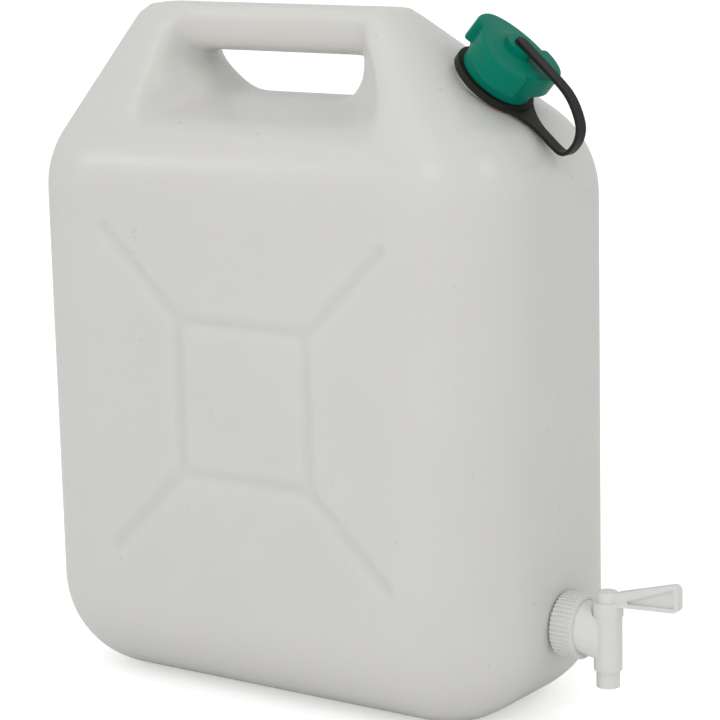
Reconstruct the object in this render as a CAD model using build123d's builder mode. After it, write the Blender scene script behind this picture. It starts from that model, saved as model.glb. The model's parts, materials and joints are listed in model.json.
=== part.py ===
from build123d import *
from math import atan2, cos, degrees, pi, radians, sin, tan
import os

os.makedirs("parts", exist_ok=True)

# Blown can
body_length = 352.0
body_depth = 184.0
body_height = 430.0
wall = 2.0
corner_radius = 64.0
base_radius = 62.5
shoulder_left = 336.0
shoulder_right = 349.0
shoulder_radius = 62.0
ridge_left = -126.0
ridge_right = 69.0
ridge_depth = 36.0
ridge_corner = 17.0
crest_radius = 16.0

# Handle opening, its scoops and the bar over it
grip_left = -86.0
grip_right = 48.0
grip_floor_left = -55.0
grip_floor = 375.0
grip_floor_radius = 190.0
grip_corner = 24.0
grip_ease = 18.0
grip_flare = 10.0
grip_soften = 2.0
bar_underside = 401.0
bar_depth = 38.0
bar_round = 13.0

# Pressed groove on both broad sides: a square ring with a leg at each corner
ring_centre_x = 6.0
ring_centre_z = 197.0
ring_side = 96.0
groove_width = 10.0
groove_depth = 2.5
groove_draft = 35.0
leg_reach_x = 104.0
leg_reach_z = 102.0

# Slanted neck and its screw cap, with heights along the neck's axis from the cap's rim
neck_x = 132.6
neck_z = 391.1
neck_tilt = 41.5
neck_radius = 19.0
neck_bore = 16.5
neck_lip = 19.5
neck_root = -30.0
bead_radius = 20.5
bead_low = 2.2
bead_thick = 1.2
collar_radius = 22.5
collar_top = -0.6
collar_fillet = 3.0

cap_skirt = 23.3
cap_skirt_height = 8.0
lobe_top = 22.3
lobe_valley = 24.7
lobe_crest = 31.8
lobe_count = 3
lobe_phase = -36.0
lobe_round = 2.2
lobe_edge = 1.6
crown_height = 23.6
crown_radius = 23.5
boss_radius = 9.7
boss_top = 26.5
socket_depth = 2.4
liner_thick = 1.5
turn_fit = 0.05

# Tether: ring round the neck, strap and button
band_outer = 26.8
band_fit = 0.02
band_top = -1.2
band_thick = 2.4
strap_width = 9.0
strap_thick = 2.2
button_radius = 7.2
button_top = 29.0
button_stem = 2.8
stem_length = 1.6
tail_length = 12.0

# Outlet, washer, nut and tap, with the outlet's axis along +X
outlet_z = 62.1
outlet_rim = 186.0
outlet_radius = 18.0
outlet_bore = 14.0
outlet_root = 150.0
washer_thick = 1.6
flange_thick = 2.0
flange_radius = 17.9
nut_radius = 20.0
nut_back = 177.0
nut_end = 2.0
nut_hole = 16.6
nut_ribs = 44
nut_rib = 0.7
nut_ease = 1.0
tap_neck = 16.4
tap_inlet = 9.0
barrel_x = 206.4
barrel_radius = 8.6
barrel_low = 38.1
barrel_high = 71.7
barrel_foot = 0.8
web_low = 43.5
plug_radius = 7.1
plug_bore = 5.3
port_radius = 4.2
spout_end = 27.4
snap_bead = 0.45
snap_height = 1.0
head_radius = 9.3
head_top = 80.7
head_gap = 0.4
head_round = 2.4
dome_radius = 7.0
dome_top = 87.0
dome_round = 2.6
lever_end = 255.0
lever_tip_low = 80.7
lever_tip_high = 98.4
lever_root_low = 78.1
lever_root_high = 87.0
lever_thick = 6.4
lever_web = 2.0
lever_rim = 2.4
lever_round = 3.5
pocket_start = 221.0
pocket_nose = 0.9


def lean(run, rise):
    return atan2(run, rise)


left_lean = lean(body_length / 2 + ridge_left, body_height - shoulder_left)
right_lean = lean(body_length / 2 - ridge_right, body_height - shoulder_right)
front_lean = lean((body_depth - ridge_depth) / 2, body_height - (shoulder_left + shoulder_right) / 2)


def can_form(inset):
    """Closed form of the can, moved inward by an even amount on every face."""
    half = body_length / 2 - inset
    low = shoulder_left - inset * tan(left_lean / 2)
    high = shoulder_right - inset * tan(right_lean / 2)
    left = ridge_left + inset * tan(pi / 4 - left_lean / 2)
    right = ridge_right - inset * tan(pi / 4 - right_lean / 2)
    depth = ridge_depth - 2 * inset * tan(pi / 4 - front_lean / 2)
    girth = Plane(
        origin=(0, 0, (low + high) / 2),
        x_dir=(2 * half, 0, high - low),
        z_dir=(low - high, 0, 2 * half),
    )
    with BuildPart() as form:
        with BuildSketch(Plane.XY.offset(inset)):
            RectangleRounded(2 * half, body_depth - 2 * inset, corner_radius - inset)
        extrude(amount=body_height)
        split(bisect_by=girth, keep=Keep.BOTTOM)
        rim = form.faces().sort_by(Axis.Z)[-1]
        with BuildSketch(Plane.XY.offset(body_height - inset)) as ridge:
            with Locations(((left + right) / 2, 0)):
                RectangleRounded(right - left, depth, ridge_corner - inset)
        loft(sections=[rim, ridge.sketch.faces()[0]], ruled=True)
        shoulder = form.edges().filter_by(
            lambda edge: abs(girth.to_local_coords(edge.center()).Z) < 0.05
        )
        fillet(shoulder, shoulder_radius - inset)
        fillet(form.faces().sort_by(Axis.Z)[-1].edges(), crest_radius - inset)
        fillet(form.faces().sort_by(Axis.Z)[0].edges(), base_radius - inset)
    return form.part


def grip_space(grow):
    """Hand space: the hole under the bar with the scoop on either side of it."""
    top = body_height + 2 * crest_radius
    half = body_depth / 2 + 2 * crest_radius
    floor = grip_floor - grow
    edge = floor - half * half / (2 * grip_floor_radius)
    roof = bar_underside + grow
    with BuildPart() as space:
        with BuildSketch(Plane.XZ):
            with BuildLine():
                outline = FilletPolyline(
                    (grip_left - grow, top),
                    (grip_left - grow, bar_underside),
                    (grip_floor_left - grow, floor),
                    (grip_right + grow, floor),
                    (grip_right + grow, top),
                    radius=[grip_ease, grip_corner, grip_corner],
                )
                Line(outline @ 1, outline @ 0)
            make_face()
        extrude(amount=body_depth / 2, taper=-grip_flare, both=True)
        with BuildSketch(Plane.YZ):
            with BuildLine():
                ThreePointArc((-half, edge), (0, floor), (half, edge))
                Polyline((half, edge), (half, top), (-half, top), (-half, edge))
            make_face()
            with Locations((0, (roof + top + bar_depth) / 2)):
                RectangleRounded(
                    bar_depth - 2 * grow,
                    top + bar_depth - roof,
                    bar_round - grow,
                    mode=Mode.SUBTRACT,
                )
        extrude(amount=body_length, both=True, mode=Mode.INTERSECT)
    return space.part


def groove_press(side, grow):
    """Tool that presses the groove into one broad side; side is -1 in front, 1 behind."""
    face = Plane(origin=(ring_centre_x, side * body_depth / 2, ring_centre_z), x_dir=(1, 0, 0), z_dir=(0, side, 0))
    width = groove_width + 2 * grow
    depth = groove_depth + grow
    up = face.y_dir.Z
    corner = (ring_side + groove_width) / 2
    half = ring_side / 2
    reach = half * 2 ** 0.5
    with BuildPart() as press:
        with BuildSketch(face.offset(-grow)):
            RectangleRounded(ring_side + width, ring_side + width, corner - half + grow)
            RectangleRounded(ring_side - width, ring_side - width, groove_width / 4, mode=Mode.SUBTRACT)
            for sign_x, sign_z in ((-1, 1), (1, 1), (1, -1), (-1, -1)):
                run = Vector(leg_reach_x - half, leg_reach_z - half)
                angle = degrees(atan2(sign_z * up * run.Y, sign_x * run.X))
                with Locations(Location((sign_x * half, sign_z * up * half), angle)):
                    with Locations((run.length / 2, 0)):
                        SlotCenterToCenter(run.length, width)
        extrude(amount=-depth, taper=groove_draft)
    return press.part


axis_tilt = radians(neck_tilt)
neck_frame = Plane(
    origin=(neck_x, 0, neck_z),
    x_dir=(cos(axis_tilt), 0, -sin(axis_tilt)),
    z_dir=(sin(axis_tilt), 0, cos(axis_tilt)),
)
neck_side = Plane(origin=neck_frame.origin, x_dir=neck_frame.x_dir, z_dir=(0, -1, 0))
outlet_frame = Plane(origin=(0, 0, outlet_z), x_dir=(0, 1, 0), z_dir=(1, 0, 0))

# Room inside the can, with the pressed grooves and the hand space standing into it
with BuildPart() as room:
    add(can_form(wall))
    add(grip_space(wall), mode=Mode.SUBTRACT)
    add(groove_press(-1, wall), mode=Mode.SUBTRACT)
    add(groove_press(1, wall), mode=Mode.SUBTRACT)

# Tank: can, neck with its finish, and threaded outlet
form = can_form(0)
hand = grip_space(0)
with BuildPart() as tank:
    add(form)
    add(hand, mode=Mode.SUBTRACT)
    form_skin = form.shells()[0]
    hand_skin = hand.shells()[0]
    brim = tank.edges(Select.LAST).filter_by(
        lambda edge: max(
            skin.distance_to(Vertex(*edge.position_at(at)))
            for skin in (form_skin, hand_skin)
            for at in (0, 0.5, 1)
        ) < 0.01
        and abs(edge.center().Y) > bar_depth / 2 + crest_radius / 4
    )
    fillet(brim, grip_soften)
    add(groove_press(-1, 0), mode=Mode.SUBTRACT)
    add(groove_press(1, 0), mode=Mode.SUBTRACT)
    with BuildSketch(neck_frame.offset(neck_root)):
        Circle(collar_radius)
    extrude(amount=collar_top - neck_root)
    with BuildSketch(neck_frame.offset(neck_root)):
        Circle(neck_radius)
    extrude(amount=neck_lip - neck_root)
    with BuildSketch(neck_frame.offset(bead_low)):
        Circle(bead_radius)
    extrude(amount=bead_thick)
    with BuildSketch(outlet_frame.offset(outlet_root)):
        Circle(outlet_radius)
    extrude(amount=outlet_rim - outlet_root)
    add(room.part, mode=Mode.SUBTRACT)
    with BuildSketch(neck_frame.offset(neck_root)):
        Circle(neck_bore)
    extrude(amount=neck_lip - neck_root, mode=Mode.SUBTRACT)
    with BuildSketch(outlet_frame.offset(outlet_root)):
        Circle(outlet_bore)
    extrude(amount=outlet_rim - outlet_root, mode=Mode.SUBTRACT)
tank.part.label = "tank"
export_step(tank.part, "parts/tank.step")

# Cap: three saw-tooth lobes on a round skirt, domed top and boss with a socket
cap_bore = bead_radius + turn_fit
cap_ceiling = neck_lip + liner_thick
step = 360 / lobe_count


def on_lobe(radius, back):
    turn = radians(lobe_phase - back)
    return (radius * cos(turn), radius * sin(turn))


with BuildPart() as cap:
    with BuildSketch(neck_frame):
        Circle(cap_skirt)
    extrude(amount=cap_ceiling)
    with BuildSketch(neck_frame.offset(lobe_top)) as lobes:
        for lobe in range(lobe_count):
            back = lobe * step
            rise = lobe_crest - lobe_valley
            with BuildLine():
                Line(on_lobe(0, 0), on_lobe(lobe_valley, back))
                Line(on_lobe(lobe_valley, back), on_lobe(lobe_valley + 0.6 * rise, back + 1))
                Spline(
                    on_lobe(lobe_valley + 0.6 * rise, back + 1),
                    on_lobe(lobe_valley + 0.93 * rise, back + 22),
                    on_lobe(lobe_crest, back + 38),
                    on_lobe(lobe_valley + 0.42 * rise, back + 65),
                    on_lobe(lobe_valley + 0.04 * rise, back + 90),
                    on_lobe(lobe_valley, back + step),
                )
                Line(on_lobe(lobe_valley, back + step), on_lobe(0, 0))
            make_face()
    extrude(amount=cap_skirt_height - lobe_top)
    corners = cap.edges().filter_by(
        lambda edge: abs(edge.tangent_at(0.5).dot(neck_frame.z_dir)) > 0.99
        and edge.center().sub(neck_frame.origin).cross(neck_frame.z_dir).length > lobe_valley + 2
    )
    fillet(corners, lobe_round)
    crest = cap.faces().filter_by(
        lambda face: abs(neck_frame.to_local_coords(face.center()).Z - lobe_top) < 0.01
    )
    fillet(crest.edges().filter_by(
        lambda edge: neck_frame.to_local_coords(edge @ 0.5).X ** 2
        + neck_frame.to_local_coords(edge @ 0.5).Y ** 2 > (lobe_valley - 1) ** 2
    ), lobe_edge)
    with BuildSketch(neck_side):
        with BuildLine():
            ThreePointArc(
                (crown_radius, lobe_top - lobe_edge),
                (crown_radius / 2, lobe_top + (crown_height - lobe_top) * 0.7),
                (0, crown_height),
            )
            Polyline((0, crown_height), (0, cap_skirt_height), (crown_radius, cap_skirt_height))
            Line((crown_radius, cap_skirt_height), (crown_radius, lobe_top - lobe_edge))
        make_face()
    revolve(axis=Axis(neck_frame.origin, neck_frame.z_dir))
    with BuildSketch(neck_frame.offset(cap_ceiling)):
        Circle(boss_radius)
    extrude(amount=boss_top - cap_ceiling)
    with BuildSketch(neck_frame.offset(boss_top)):
        Circle(button_radius + turn_fit)
    extrude(amount=-socket_depth, mode=Mode.SUBTRACT)
    with BuildSketch(neck_frame.offset(boss_top - socket_depth)):
        Circle(button_stem + turn_fit)
    extrude(amount=-stem_length - turn_fit, mode=Mode.SUBTRACT)
    with BuildSketch(neck_frame):
        Circle(cap_bore)
    extrude(amount=cap_ceiling, mode=Mode.SUBTRACT)
cap.part.label = "cap"
export_step(cap.part, "parts/cap.step")

# Sealing disc inside the cap
with BuildPart() as cap_liner:
    with BuildSketch(neck_frame.offset(neck_lip)):
        Circle(cap_bore - turn_fit)
    extrude(amount=liner_thick)
cap_liner.part.label = "cap_liner"
export_step(cap_liner.part, "parts/cap_liner.step")

# Tether: moulded ring, strap and button in one piece
strap_line = button_top - strap_thick / 2
with BuildPart() as tether:
    with BuildSketch(neck_frame.offset(band_top)):
        Circle(band_outer)
        Circle(collar_radius + band_fit, mode=Mode.SUBTRACT)
    extrude(amount=-band_thick)
    with BuildSketch(neck_side):
        with BuildLine():
            path = Spline(
                (0, strap_line),
                (34, strap_line - 0.3),
                (53.5, 22.6),
                (64.3, 12.0),
                (64.6, 0.6),
                (57.0, -2.6),
                (43.0, -2.6),
                (band_outer - 2.2, band_top - band_thick / 2),
                tangents=((1, 0), (-1, 0.25)),
            )
        trace(path, line_width=strap_thick)
    extrude(amount=strap_width / 2, both=True)
    with BuildSketch(neck_frame.offset(button_top)):
        Circle(button_radius)
    extrude(amount=boss_top - socket_depth - button_top)
    with BuildSketch(neck_frame.offset(boss_top - socket_depth)):
        Circle(button_stem)
    extrude(amount=-stem_length)
tether.part.label = "tether"
export_step(tether.part, "parts/tether.step")

# Flat washer between the outlet's rim and the tap's flange
with BuildPart() as tap_washer:
    with BuildSketch(outlet_frame.offset(outlet_rim)):
        Circle(flange_radius)
        Circle(tap_inlet + 1, mode=Mode.SUBTRACT)
    extrude(amount=washer_thick)
tap_washer.part.label = "tap_washer"
export_step(tap_washer.part, "parts/tap_washer.step")

# Ribbed nut that draws the flange against the outlet
flange_face = outlet_rim + washer_thick + flange_thick
nut_front = flange_face + nut_end
with BuildPart() as tap_nut:
    with BuildSketch(outlet_frame.offset(nut_back)):
        Circle(nut_radius - nut_rib)
    extrude(amount=nut_front - nut_back)
    with BuildSketch(outlet_frame.offset(nut_back)):
        with PolarLocations(nut_radius - nut_rib, nut_ribs):
            Rectangle(2 * nut_rib, 2 * nut_rib)
    extrude(amount=nut_front - nut_back - nut_ease)
    with BuildSketch(outlet_frame.offset(nut_back)):
        Circle(outlet_radius + turn_fit)
    extrude(amount=flange_face - nut_back, mode=Mode.SUBTRACT)
    with BuildSketch(outlet_frame.offset(flange_face)):
        Circle(nut_hole)
    extrude(amount=nut_end, mode=Mode.SUBTRACT)
tap_nut.part.label = "tap_nut"
export_step(tap_nut.part, "parts/tap_nut.step")

# Tap body: flange, tapered web and upright barrel
barrel_frame = Plane(origin=(barrel_x, 0, 0), z_dir=(0, 0, 1))
with BuildPart() as tap_body:
    with BuildSketch(outlet_frame.offset(outlet_rim + washer_thick)):
        Circle(flange_radius)
    extrude(amount=flange_thick)
    with BuildSketch(outlet_frame.offset(flange_face)):
        Circle(tap_neck)
    extrude(amount=nut_end)
    with BuildSketch(outlet_frame.offset(nut_front)):
        Circle(tap_neck)
    with BuildSketch(outlet_frame.offset(barrel_x)):
        with Locations((0, (web_low + barrel_high) / 2 - outlet_z)):
            RectangleRounded(1.7 * barrel_radius, barrel_high - web_low, barrel_radius / 2)
    loft()
    with BuildSketch(barrel_frame.offset(barrel_low)):
        Circle(barrel_radius)
    extrude(amount=barrel_high - barrel_low)
    with BuildSketch(outlet_frame.offset(outlet_rim + washer_thick)):
        Circle(tap_inlet)
    extrude(amount=flange_thick + nut_end, mode=Mode.SUBTRACT)
    with BuildSketch(outlet_frame.offset(nut_front)):
        Circle(port_radius)
    extrude(amount=barrel_x - nut_front, mode=Mode.SUBTRACT)
    with BuildSketch(barrel_frame.offset(barrel_low)):
        Circle(plug_radius + turn_fit)
    extrude(amount=barrel_high - barrel_low, mode=Mode.SUBTRACT)
    with BuildSketch(barrel_frame.offset(barrel_high)):
        Circle(head_radius + head_gap)
    extrude(amount=head_top - barrel_high, mode=Mode.SUBTRACT)
tap_body.part.label = "tap_body"
export_step(tap_body.part, "parts/tap_body.step")

# Tap key: lever, head and dome over a hollow plug that ends as the spout
with BuildPart() as tap_key:
    with BuildSketch(barrel_frame.offset(spout_end)):
        Circle(plug_radius)
    extrude(amount=head_top - spout_end)
    with BuildSketch(barrel_frame.offset(barrel_high + turn_fit)):
        Circle(head_radius)
    extrude(amount=head_top - barrel_high - turn_fit)
    fillet(tap_key.faces().sort_by(Axis.Z)[-1].edges(), head_round)
    with BuildSketch(barrel_frame.offset(head_top)):
        Circle(dome_radius)
    extrude(amount=dome_top - head_top)
    fillet(tap_key.faces().sort_by(Axis.Z)[-1].edges(), dome_round)
    with BuildSketch(barrel_frame.offset(barrel_low - turn_fit)):
        Circle(plug_radius + snap_bead)
    extrude(amount=-snap_height)
    with BuildSketch(Plane.XZ):
        with BuildLine():
            paddle = FilletPolyline(
                (barrel_x, lever_root_low),
                (lever_end, lever_tip_low),
                (lever_end, lever_tip_high),
                (barrel_x + dome_radius, lever_root_high),
                radius=lever_round,
            )
            Polyline(paddle @ 1, (barrel_x, head_top), paddle @ 0)
        make_face()
    extrude(amount=lever_thick / 2, both=True)
    for side in (-1, 1):
        with BuildSketch(Plane.XZ.offset(side * lever_thick / 2)):
            with BuildLine():
                Polyline(
                    (pocket_start, lever_root_low + lever_rim + pocket_nose),
                    (lever_end - lever_rim, lever_tip_low + lever_rim),
                    (lever_end - lever_rim, lever_tip_high - lever_rim - pocket_nose),
                    (pocket_start, lever_root_low + lever_rim + 3 * pocket_nose),
                    close=True,
                )
            pocket = make_face()
            fillet(pocket.vertices(), pocket_nose)
        extrude(amount=-side * (lever_thick - lever_web) / 2, mode=Mode.SUBTRACT)
    with BuildSketch(barrel_frame.offset(spout_end)):
        Circle(plug_bore)
    extrude(amount=outlet_z + port_radius + 1 - spout_end, mode=Mode.SUBTRACT)
    with BuildSketch(Plane.XZ.offset(-barrel_radius)):
        with Locations((barrel_x, outlet_z)):
            Circle(port_radius)
    extrude(amount=barrel_radius, mode=Mode.SUBTRACT)
tap_key.part.label = "tap_key"
export_step(tap_key.part, "parts/tap_key.step")
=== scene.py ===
import bmesh
import bpy
import json
from math import cos, pi, radians, sin, tan
from mathutils import Matrix, Vector
from mathutils.geometry import interpolate_bezier

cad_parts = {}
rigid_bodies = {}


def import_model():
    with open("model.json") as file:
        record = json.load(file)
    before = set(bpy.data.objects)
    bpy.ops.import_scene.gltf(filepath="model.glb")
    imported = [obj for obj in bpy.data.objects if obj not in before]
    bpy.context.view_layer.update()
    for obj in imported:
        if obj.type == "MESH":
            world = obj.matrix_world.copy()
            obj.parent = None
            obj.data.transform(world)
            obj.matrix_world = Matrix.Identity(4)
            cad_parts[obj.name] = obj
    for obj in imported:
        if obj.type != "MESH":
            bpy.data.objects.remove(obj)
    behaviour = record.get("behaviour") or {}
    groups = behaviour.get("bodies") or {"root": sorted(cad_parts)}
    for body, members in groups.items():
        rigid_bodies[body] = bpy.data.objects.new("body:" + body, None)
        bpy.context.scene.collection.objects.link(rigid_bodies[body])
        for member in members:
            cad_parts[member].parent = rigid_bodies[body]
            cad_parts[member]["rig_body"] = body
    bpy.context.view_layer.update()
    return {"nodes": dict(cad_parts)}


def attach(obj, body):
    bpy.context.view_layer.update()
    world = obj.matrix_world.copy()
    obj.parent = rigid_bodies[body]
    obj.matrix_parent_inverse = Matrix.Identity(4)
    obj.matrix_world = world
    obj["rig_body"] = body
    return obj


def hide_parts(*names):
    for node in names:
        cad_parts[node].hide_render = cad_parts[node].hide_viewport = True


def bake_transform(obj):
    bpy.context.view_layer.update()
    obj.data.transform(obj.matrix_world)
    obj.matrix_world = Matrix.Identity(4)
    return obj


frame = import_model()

scene = bpy.context.scene
scene.view_settings.view_transform = "Standard"
MM = 0.001

# Tank. One blow-moulded can of natural polyethylene: its hand space and grooves are pressed
# by the mould, so every edge is softly rounded. The neck's and outlet's finishes are separate
# meshes below; the neck's carries its thread.
NECK_TILT = radians(41.5)
NECK_RIM = Vector((132.6, 0, 391.1)) * MM
NECK_AXIS = Vector((sin(NECK_TILT), 0, cos(NECK_TILT)))
NECK_BORE = 16.5 * MM
COLLAR_RADIUS = 22.5 * MM
OUTLET_CENTRE = Vector((186.0, 0, 62.1)) * MM
OUTLET_AXIS = Vector((1, 0, 0))
OUTLET_BORE = 14.0 * MM
OUTLET_RADIUS = 18.0 * MM
SKIN_VOXEL = 2.6 * MM
SKIN_PASSES = 3
SCOOP_PASSES = 14
SEAT = ((10 * MM, -16 * MM), (38 * MM, -16 * MM), (28.5 * MM, -3.4 * MM), (10 * MM, -3.4 * MM))
BAR_HALF = 19.2 * MM
SCOOP_TOP = 450.0 * MM
SCOOP_FLOOR = 375.0 * MM
SCOOP_FLOOR_RADIUS = 190.0 * MM
SCOOP_LEFT = -88.0 * MM
SCOOP_RIGHT = 50.0 * MM
SCOOP_FOOT = 31.0 * MM
SCOOP_RUNS = (0.0, 44.0 * MM, 80.0 * MM)
NARROW_FLARE = radians(8)
WIDE_FLARE = radians(45)


def from_axis(point, centre, axis):
    """Height along an axis and distance from it."""
    offset = point - centre
    height = offset.dot(axis)
    return height, (offset - axis * height).length


def merged(node):
    mesh = bmesh.new()
    mesh.from_mesh(frame["nodes"][node].data)
    bmesh.ops.remove_doubles(mesh, verts=mesh.verts, dist=1e-6)
    return mesh


def new_piece(mesh, name, body, angle=35):
    data = bpy.data.meshes.new(name)
    mesh.to_mesh(data)
    mesh.free()
    data.shade_smooth()
    data.set_sharp_from_angle(angle=radians(angle))
    piece = bpy.data.objects.new(name, data)
    scene.collection.objects.link(piece)
    if body:
        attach(piece, body)
    return piece


def on_tube(face, centre, axis, low, high, reach):
    for vert in face.verts:
        height, radius = from_axis(vert.co, centre, axis)
        if not low < radius < high or abs(height) > reach:
            return False
    return True


def turned(profile, centre, axis, steps):
    """Round piece spun from a closed profile of (radius, height) pairs."""
    side = axis.orthogonal().normalized()
    mesh = bmesh.new()
    ring = [mesh.verts.new(centre + side * radius + axis * height) for radius, height in profile]
    edges = [mesh.edges.new((ring[i - 1], ring[i])) for i in range(len(ring))]
    bmesh.ops.spin(mesh, geom=ring + edges, cent=centre, axis=axis, angle=2 * pi, steps=steps, use_merge=True)
    bmesh.ops.remove_doubles(mesh, verts=mesh.verts, dist=1e-7)
    bmesh.ops.recalc_face_normals(mesh, faces=mesh.faces)
    return mesh


skin = merged("tank")
gap = 0.12 * MM
for centre, axis, bore, rim in (
    (NECK_RIM, NECK_AXIS, NECK_BORE, COLLAR_RADIUS),
    (OUTLET_CENTRE, OUTLET_AXIS, OUTLET_BORE, OUTLET_RADIUS),
):
    inner = [f for f in skin.faces if on_tube(f, centre, axis, bore - gap, rim + gap, 40 * MM)]
    bmesh.ops.delete(skin, geom=inner, context="FACES")
lowest = min(skin.verts, key=lambda v: v.co.z)
outer = {lowest}
front = [lowest]
while front:
    vert = front.pop()
    for edge in vert.link_edges:
        other = edge.other_vert(vert)
        if edge.link_faces and other not in outer:
            outer.add(other)
            front.append(other)
bmesh.ops.delete(skin, geom=[v for v in skin.verts if v not in outer], context="VERTS")
bmesh.ops.holes_fill(skin, edges=[e for e in skin.edges if e.is_boundary], sides=0)
bmesh.ops.triangulate(skin, faces=skin.faces)
shell = new_piece(skin, "tank_skin", None)


def scoop(side):
    """Closed tool that opens one scoop further; side is -1 in front, 1 behind."""
    left_flare, right_flare = (NARROW_FLARE, WIDE_FLARE) if side < 0 else (WIDE_FLARE, NARROW_FLARE)
    tool = bmesh.new()
    rings = []
    for run in SCOOP_RUNS:
        out = BAR_HALF + run
        left = SCOOP_LEFT - run * tan(left_flare)
        right = SCOOP_RIGHT + run * tan(right_flare)
        floor = SCOOP_FLOOR - out * out / (2 * SCOOP_FLOOR_RADIUS)
        foot = left + SCOOP_FOOT * max(0, 1 - run / SCOOP_RUNS[1])
        outline = [Vector((left, 0, SCOOP_TOP))]
        outline += interpolate_bezier(
            Vector((left, 0, floor + 40 * MM)),
            Vector((left, 0, floor + 18 * MM)),
            Vector((max(left, foot - 12 * MM), 0, floor)),
            Vector((foot + 16 * MM, 0, floor)),
            12,
        )
        outline += interpolate_bezier(
            Vector((right - 24 * MM, 0, floor)),
            Vector((right - 11 * MM, 0, floor)),
            Vector((right, 0, floor + 11 * MM)),
            Vector((right, 0, floor + 24 * MM)),
            9,
        )
        outline.append(Vector((right, 0, SCOOP_TOP)))
        rings.append([tool.verts.new(point + Vector((0, side * out, 0))) for point in outline])
    for near, far in zip(rings, rings[1:]):
        for index in range(len(near)):
            tool.faces.new((near[index - 1], near[index], far[index], far[index - 1]))
    tool.faces.new(rings[0])
    tool.faces.new(rings[-1])
    bmesh.ops.triangulate(tool, faces=tool.faces)
    bmesh.ops.recalc_face_normals(tool, faces=tool.faces)
    return new_piece(tool, "scoop tool", None)


seat_mesh = turned(SEAT, NECK_RIM, NECK_AXIS, 64)
seat_data = bpy.data.meshes.new("neck seat")
seat_mesh.to_mesh(seat_data)
joined = bmesh.new()
joined.from_mesh(shell.data)
joined.from_mesh(seat_data)
joined.to_mesh(shell.data)
joined.free()
seat_mesh.free()
tools = [scoop(-1), scoop(1)]
for tool in tools:
    cut = shell.modifiers.new("scoop", "BOOLEAN")
    cut.operation = "DIFFERENCE"
    cut.object = tool
remesh = shell.modifiers.new("voxel", "REMESH")
remesh.mode = "VOXEL"
remesh.voxel_size = SKIN_VOXEL
graph = bpy.context.evaluated_depsgraph_get()
skin = bmesh.new()
skin.from_mesh(bpy.data.meshes.new_from_object(shell.evaluated_get(graph)))
for spent in (shell, *tools):
    bpy.data.objects.remove(spent)
for step in range(SKIN_PASSES):
    bmesh.ops.smooth_vert(skin, verts=skin.verts, factor=0.5, use_axis_x=True, use_axis_y=True, use_axis_z=True)
scoops = [
    v for v in skin.verts
    if 0.345 < v.co.z < 0.4285 and -0.125 < v.co.x < 0.125
]
for step in range(SCOOP_PASSES):
    bmesh.ops.smooth_vert(skin, verts=scoops, factor=0.5, use_axis_x=True, use_axis_y=True, use_axis_z=True)
mouth = []
for face in skin.faces:
    middle = face.calc_center_median()
    height, radius = from_axis(middle, NECK_RIM, NECK_AXIS)
    run, off = from_axis(middle, OUTLET_CENTRE, OUTLET_AXIS)
    if (radius < COLLAR_RADIUS - 3 * MM and height > -0.02) or (off < OUTLET_RADIUS - 3 * MM and run > -0.02):
        mouth.append(face)
bmesh.ops.delete(skin, geom=mouth, context="FACES")
bmesh.ops.recalc_face_normals(skin, faces=skin.faces)
tank = new_piece(skin, "tank_skin", "can", angle=180)
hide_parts("tank")
print("tank skin triangles", sum(len(p.vertices) - 2 for p in tank.data.polygons))


def plastic(name, colour, roughness, speckle=0.02, grain=220, bump=0.02, subsurface=0.0, scatter=2.0, gloss=0.5):
    material = bpy.data.materials.new(name)
    material.use_nodes = True
    nodes = material.node_tree.nodes
    links = material.node_tree.links
    shader = nodes["Principled BSDF"]
    shader.inputs["Specular IOR Level"].default_value = gloss
    shader.inputs["Subsurface Weight"].default_value = subsurface
    shader.inputs["Subsurface Scale"].default_value = scatter * MM
    shader.inputs["Subsurface Radius"].default_value = (1.0, 0.95, 0.8)
    place = nodes.new("ShaderNodeTexCoord")
    finish = nodes.new("ShaderNodeGroup")
    finish.node_tree = bpy.data.node_groups["moulded finish"]
    finish.inputs["Colour"].default_value = (*colour, 1)
    finish.inputs["Roughness"].default_value = roughness
    finish.inputs["Speckle"].default_value = speckle
    finish.inputs["Grain"].default_value = grain
    relief = nodes.new("ShaderNodeBump")
    relief.inputs["Strength"].default_value = bump
    relief.inputs["Distance"].default_value = 0.5 * MM
    links.new(place.outputs["Object"], finish.inputs["Place"])
    links.new(finish.outputs["Colour"], shader.inputs["Base Color"])
    links.new(finish.outputs["Roughness"], shader.inputs["Roughness"])
    links.new(finish.outputs["Height"], relief.inputs["Height"])
    links.new(relief.outputs["Normal"], shader.inputs["Normal"])
    return material


group = bpy.data.node_groups.new("moulded finish", "ShaderNodeTree")
face = group.interface
face.new_socket("Place", in_out="INPUT", socket_type="NodeSocketVector")
face.new_socket("Colour", in_out="INPUT", socket_type="NodeSocketColor")
face.new_socket("Roughness", in_out="INPUT", socket_type="NodeSocketFloat")
face.new_socket("Speckle", in_out="INPUT", socket_type="NodeSocketFloat")
face.new_socket("Grain", in_out="INPUT", socket_type="NodeSocketFloat")
face.new_socket("Colour", in_out="OUTPUT", socket_type="NodeSocketColor")
face.new_socket("Roughness", in_out="OUTPUT", socket_type="NodeSocketFloat")
face.new_socket("Height", in_out="OUTPUT", socket_type="NodeSocketFloat")
given = group.nodes.new("NodeGroupInput")
given_out = group.nodes.new("NodeGroupOutput")
fine = group.nodes.new("ShaderNodeTexNoise")
fine.inputs["Detail"].default_value = 4
broad = group.nodes.new("ShaderNodeTexNoise")
broad.inputs["Scale"].default_value = 14
broad.inputs["Detail"].default_value = 3
swing = group.nodes.new("ShaderNodeMath")
swing.operation = "SUBTRACT"
swing.inputs[1].default_value = 0.5
amount = group.nodes.new("ShaderNodeMath")
amount.operation = "MULTIPLY_ADD"
amount.inputs[2].default_value = 1.0
shade = group.nodes.new("ShaderNodeVectorMath")
shade.operation = "SCALE"
rough = group.nodes.new("ShaderNodeMath")
rough.operation = "MULTIPLY_ADD"
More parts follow.
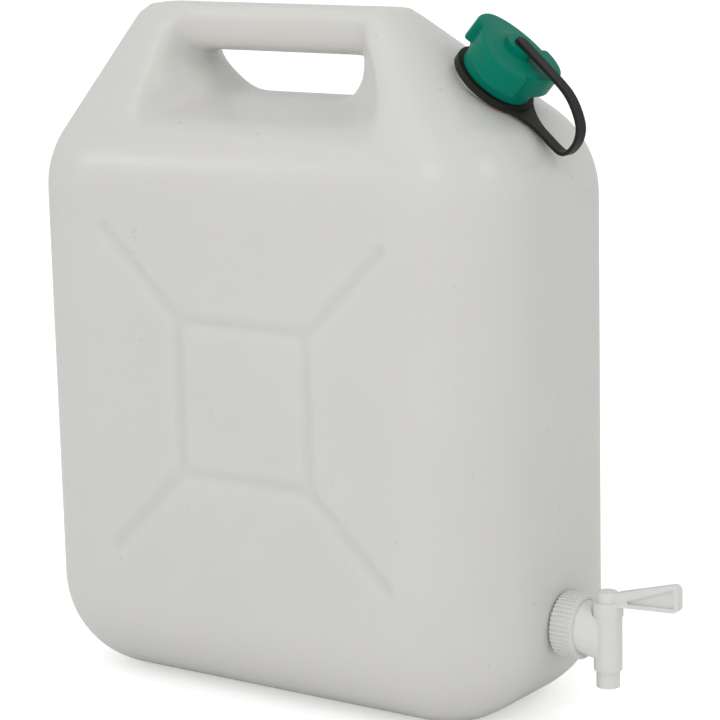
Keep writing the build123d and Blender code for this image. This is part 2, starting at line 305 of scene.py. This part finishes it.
rough.inputs[1].default_value = 0.12
rough_mid = group.nodes.new("ShaderNodeMath")
rough_mid.operation = "SUBTRACT"
rough_mid.inputs[1].default_value = 0.06
link = group.links.new
link(given.outputs["Place"], fine.inputs["Vector"])
link(given.outputs["Place"], broad.inputs["Vector"])
link(given.outputs["Grain"], fine.inputs["Scale"])
link(broad.outputs["Fac"], swing.inputs[0])
link(swing.outputs[0], amount.inputs[0])
link(given.outputs["Speckle"], amount.inputs[1])
link(given.outputs["Colour"], shade.inputs[0])
link(amount.outputs[0], shade.inputs["Scale"])
link(fine.outputs["Fac"], rough.inputs[0])
link(given.outputs["Roughness"], rough_mid.inputs[0])
link(rough_mid.outputs[0], rough.inputs[2])
link(shade.outputs[0], given_out.inputs["Colour"])
link(rough.outputs[0], given_out.inputs["Roughness"])
link(fine.outputs["Fac"], given_out.inputs["Height"])

polyethylene = plastic(
    "natural polyethylene", (0.635, 0.63, 0.605), 0.30, speckle=0.05, grain=90, bump=0.05, subsurface=0.6, scatter=14,
)
tank.data.materials.clear()
tank.data.materials.append(polyethylene)

# Neck finish. Moulded with the tank: a plain collar that the tether's ring sits on, then the
# threaded mouth that the cap screws on to, with its sealing lip.
NECK_RADIUS = 19.0 * MM
NECK_LIP = 19.5 * MM
COLLAR_TOP = -0.6 * MM
COLLAR_FOOT = -13.0 * MM
THREAD_PITCH = 5.0 * MM
THREAD_RISE = 1.2 * MM
THREAD_TURNS = 2.6
THREAD_START = 4.6 * MM


def thread(centre, axis, root, rise, start, turns, pitch, steps=48):
    """Screw thread of trapezoid section, capped flat at both ends; a negative rise stands inward."""
    side = axis.orthogonal().normalized()
    mesh = bmesh.new()
    half = 0.36 * pitch
    points = ((root, -half), (root + rise, -half * 0.35), (root + rise, half * 0.35), (root, half))
    ring = [mesh.verts.new(centre + side * radius + axis * (start + height)) for radius, height in points]
    edges = [mesh.edges.new((ring[i - 1], ring[i])) for i in range(len(ring))]
    count = int(steps * turns)
    bmesh.ops.spin(
        mesh, geom=ring + edges, cent=centre, axis=axis, dvec=axis * (pitch * turns / count),
        angle=2 * pi * turns, steps=count,
    )
    bmesh.ops.holes_fill(mesh, edges=[e for e in mesh.edges if e.is_boundary], sides=0)
    bmesh.ops.recalc_face_normals(mesh, faces=mesh.faces)
    return mesh


neck = new_piece(turned((
    (NECK_BORE, COLLAR_FOOT), (COLLAR_RADIUS, COLLAR_FOOT), (COLLAR_RADIUS, COLLAR_TOP - 0.6 * MM),
    (COLLAR_RADIUS - 0.6 * MM, COLLAR_TOP), (NECK_RADIUS, COLLAR_TOP), (NECK_RADIUS, NECK_LIP - 0.8 * MM),
    (NECK_RADIUS - 0.8 * MM, NECK_LIP), (NECK_BORE + 0.6 * MM, NECK_LIP), (NECK_BORE, NECK_LIP - 0.6 * MM),
), NECK_RIM, NECK_AXIS, 96), "neck_finish", "can")
neck_thread = new_piece(
    thread(NECK_RIM, NECK_AXIS, NECK_RADIUS - 0.2 * MM, THREAD_RISE, THREAD_START, THREAD_TURNS, THREAD_PITCH),
    "neck_thread", "can",
)
for piece in (neck, neck_thread):
    piece.data.materials.append(polyethylene)

# Cap and liner. The screw cap is injection-moulded in green plastic with three saw-tooth lobes
# and a boss that the tether's button snaps into; a foam disc inside it seals on the lip.


def dressed(node, material, bevel=0.0, angle=35):
    """A clean copy of a node's solid, with its sharp edges eased."""
    mesh = merged(node)
    bmesh.ops.dissolve_limit(mesh, angle_limit=radians(0.4), verts=mesh.verts, edges=mesh.edges)
    body = frame["nodes"][node]["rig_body"]
    piece = new_piece(mesh, node + "_piece", body, angle)
    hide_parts(node)
    piece.data.materials.append(material)
    if bevel:
        ease = piece.modifiers.new("eased edges", "BEVEL")
        ease.width = bevel
        ease.segments = 2
        ease.limit_method = "ANGLE"
        ease.angle_limit = radians(40)
        ease.use_clamp_overlap = True
        ease.harden_normals = True
    return piece


SOCKET_CAD = 7.25 * MM
SOCKET = 4.5 * MM
SOCKET_FLOOR = 24 * MM
green = plastic("green cap plastic", (0.001, 0.175, 0.117), 0.32, speckle=0.03, grain=300, bump=0.02, gloss=0.06)
cap = dressed("cap", green, 0.25 * MM)
for vert in cap.data.vertices:
    height, radius = from_axis(vert.co, NECK_RIM, NECK_AXIS)
    if abs(radius - SOCKET_CAD) < 0.1 * MM and height > SOCKET_FLOOR:
        vert.co = NECK_RIM + NECK_AXIS * height + (vert.co - NECK_RIM - NECK_AXIS * height) * SOCKET / radius
cap_thread = new_piece(
    thread(NECK_RIM, NECK_AXIS, 20.6 * MM, -1.1 * MM, THREAD_START + THREAD_PITCH / 2, THREAD_TURNS - 0.3, THREAD_PITCH),
    "cap_thread", "cap",
)
cap_thread.data.materials.append(green)
foam = plastic("liner foam", (0.75, 0.75, 0.72), 0.7, grain=900, bump=0.2)
liner = dressed("cap_liner", foam, 0.2 * MM)

# Tether. One flexible moulding in near-black plastic: a ring round the collar, a flat strap
# that loops out to the cap, and a button that snaps into the cap's boss and lets the cap turn.
BAND_OUTER = 26.8 * MM
BAND_TOP = -0.3 * MM
BAND_FOOT = -4.6 * MM
STRAP_HALF = 4.3 * MM
STRAP_THICK = 2.2 * MM
STRAP_POINTS = (
    (-4.3, 27.9), (10, 27.9), (34, 27.6), (44.5, 26.2), (53.5, 22.6), (60.6, 17.8),
    (64.3, 12.0), (65.4, 6.2), (64.6, 0.6), (61.8, -1.8), (57.0, -2.6), (43.0, -2.6), (22.6, -2.5),
)
STRAP_STEPS = 8
ROOT_LENGTH = 22 * MM
ROOT_SPREAD = 11 * MM
BUTTON_FOOT = 24.3 * MM
neck_along = Vector((cos(NECK_TILT), 0, -sin(NECK_TILT)))
neck_across = Vector((0, 1, 0))


def smooth_run(points, steps):
    """Catmull-Rom run through points of the strap's middle line."""
    places = [NECK_RIM + neck_along * (x * MM) + NECK_AXIS * (h * MM) for x, h in points]
    places = [2 * places[0] - places[1]] + places + [2 * places[-1] - places[-2]]
    run = []
    for index in range(1, len(places) - 2):
        before, start, end, after = places[index - 1:index + 3]
        for step in range(steps):
            run += interpolate_bezier(
                start, start + (end - before) / 6, end - (after - start) / 6, end, steps + 1
            )[step:step + 1]
    run.append(places[-2])
    return run


strap_plastic = plastic("strap plastic", (0.018, 0.019, 0.015), 0.45, speckle=0.05, grain=400, bump=0.05, gloss=0.12)
run = smooth_run(STRAP_POINTS, STRAP_STEPS)
reach = [0.0]
for start, end in zip(run, run[1:]):
    reach.append(reach[-1] + (end - start).length)
strap = bmesh.new()
rings = []
for index, place in enumerate(run):
    ahead = run[min(index + 1, len(run) - 1)] - run[max(index - 1, 0)]
    out = ahead.cross(neck_across).normalized() * STRAP_THICK / 2
    half = STRAP_HALF
    if reach[index] < STRAP_HALF:
        half = max(0.3 * MM, (STRAP_HALF ** 2 - (STRAP_HALF - reach[index]) ** 2) ** 0.5)
    left = reach[-1] - reach[index]
    if left < ROOT_LENGTH:
        half += ROOT_SPREAD * (1 - left / ROOT_LENGTH) ** 2
    corners = ((out, 1), (out, -1), (-out, -1), (-out, 1))
    rings.append([strap.verts.new(place + lift + neck_across * half * way) for lift, way in corners])
for near, far in zip(rings, rings[1:]):
    for index in range(4):
        strap.faces.new((near[index - 1], near[index], far[index], far[index - 1]))
strap.faces.new(rings[0])
strap.faces.new(rings[-1])
bmesh.ops.recalc_face_normals(strap, faces=strap.faces)
for profile in (
    ((COLLAR_RADIUS, BAND_FOOT), (BAND_OUTER, BAND_FOOT), (BAND_OUTER, BAND_TOP), (COLLAR_RADIUS, BAND_TOP)),
    ((0, BUTTON_FOOT), (STRAP_HALF, BUTTON_FOOT), (STRAP_HALF, 28 * MM), (0, 28 * MM)),
):
    part = turned(profile, NECK_RIM, NECK_AXIS, 64)
    data = bpy.data.meshes.new("tether part")
    part.to_mesh(data)
    part.free()
    strap.from_mesh(data)
tether = new_piece(strap, "tether_strap", None)
tether.data.materials.append(strap_plastic)
round_off = tether.modifiers.new("rounded edges", "BEVEL")
round_off.width = 0.7 * MM
round_off.segments = 3
round_off.limit_method = "ANGLE"
round_off.angle_limit = radians(50)
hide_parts("tether")
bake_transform(tether)

# Outlet and tap. A ribbed nut draws the tap's flange and a rubber washer against the threaded
# outlet; the tap and its one-piece key are injection-moulded in white plastic.
white = plastic("white tap plastic", (0.70, 0.695, 0.68), 0.38, speckle=0.03, grain=350, bump=0.03, subsurface=0.1, scatter=2)
outlet = new_piece(turned((
    (OUTLET_BORE, -14 * MM), (OUTLET_RADIUS - 1 * MM, -14 * MM), (OUTLET_RADIUS - 1 * MM, -0.6 * MM),
    (OUTLET_RADIUS - 1.6 * MM, 0), (OUTLET_BORE, 0),
), OUTLET_CENTRE, OUTLET_AXIS, 96), "outlet_finish", "can")
outlet.data.materials.append(polyethylene)
nut = dressed("tap_nut", white, 0.15 * MM)
tap_body = dressed("tap_body", white, 0.3 * MM)
tap_key = dressed("tap_key", white, 0.35 * MM)
rubber = plastic("washer rubber", (0.03, 0.03, 0.03), 0.6)
washer = dressed("tap_washer", rubber, 0.2 * MM)

# Studio. A white table, a white room and soft lamps; the camera stands where the photograph's did.
floor_mesh = bmesh.new()
bmesh.ops.create_grid(floor_mesh, x_segments=1, y_segments=1, size=6)
floor = new_piece(floor_mesh, "floor", None)
paper = bpy.data.materials.new("white paper")
paper.use_nodes = True
nodes = paper.node_tree.nodes
shader = nodes["Principled BSDF"]
shader.inputs["Base Color"].default_value = (0.9, 0.9, 0.9, 1)
shader.inputs["Roughness"].default_value = 0.9
shader.inputs["Emission Color"].default_value = (1, 1, 1, 1)
path = nodes.new("ShaderNodeLightPath")
seen = nodes.new("ShaderNodeMath")
seen.operation = "MULTIPLY"
seen.inputs[1].default_value = 0.45
paper.node_tree.links.new(path.outputs["Is Camera Ray"], seen.inputs[0])
paper.node_tree.links.new(seen.outputs[0], shader.inputs["Emission Strength"])
floor.data.materials.append(paper)

world = bpy.data.worlds.new("white room")
scene.world = world
world.use_nodes = True
nodes = world.node_tree.nodes
back = nodes["Background"]
back.inputs["Color"].default_value = (1, 1, 1, 1)
path = nodes.new("ShaderNodeLightPath")
level = nodes.new("ShaderNodeMapRange")
level.inputs["To Min"].default_value = 0.74
level.inputs["To Max"].default_value = 1.0
world.node_tree.links.new(path.outputs["Is Camera Ray"], level.inputs["Value"])
world.node_tree.links.new(level.outputs["Result"], back.inputs["Strength"])


def lamp(name, place, target, size, watts):
    light = bpy.data.lights.new(name, "AREA")
    light.shape = "DISK"
    light.size = size
    light.energy = watts
    holder = bpy.data.objects.new(name, light)
    scene.collection.objects.link(holder)
    holder.location = place
    holder.rotation_euler = (Vector(target) - Vector(place)).to_track_quat("-Z", "Y").to_euler()
    return holder


middle = (0, 0, 0.22)
lamp("lamp over", (-0.2, -0.5, 2.2), middle, 1.2, 2.5)
lamp("lamp left", (-1.6, -1.5, 1.3), middle, 0.5, 2.5)
lamp("lamp front", (0.64, -1.41, 1.75), middle, 0.18, 2.2)
lamp("lamp side", (1.68, 0.09, 1.64), middle, 0.18, 1.8)
fill = lamp("lamp fill", (0.75, -1.55, 0.60), middle, 0.8, 5.0)
fill.visible_glossy = False

view_right = Vector((0.8219788, 0.5690526, -0.0230194))
view_up = Vector((-0.0975859, 0.1805509, 0.9787126))
view_back = Vector((0.5610952, -0.8022347, 0.2039405))
eye = bpy.data.cameras.new("camera")
eye.lens = 135.05
eye.sensor_width = 36
camera = bpy.data.objects.new("camera", eye)
scene.collection.objects.link(camera)
turn = Matrix((view_right, view_up, view_back)).transposed().to_4x4()
camera.matrix_world = Matrix.Translation(Vector((977.2708, -1355.0194, 554.7381)) * MM) @ turn
scene.camera = camera
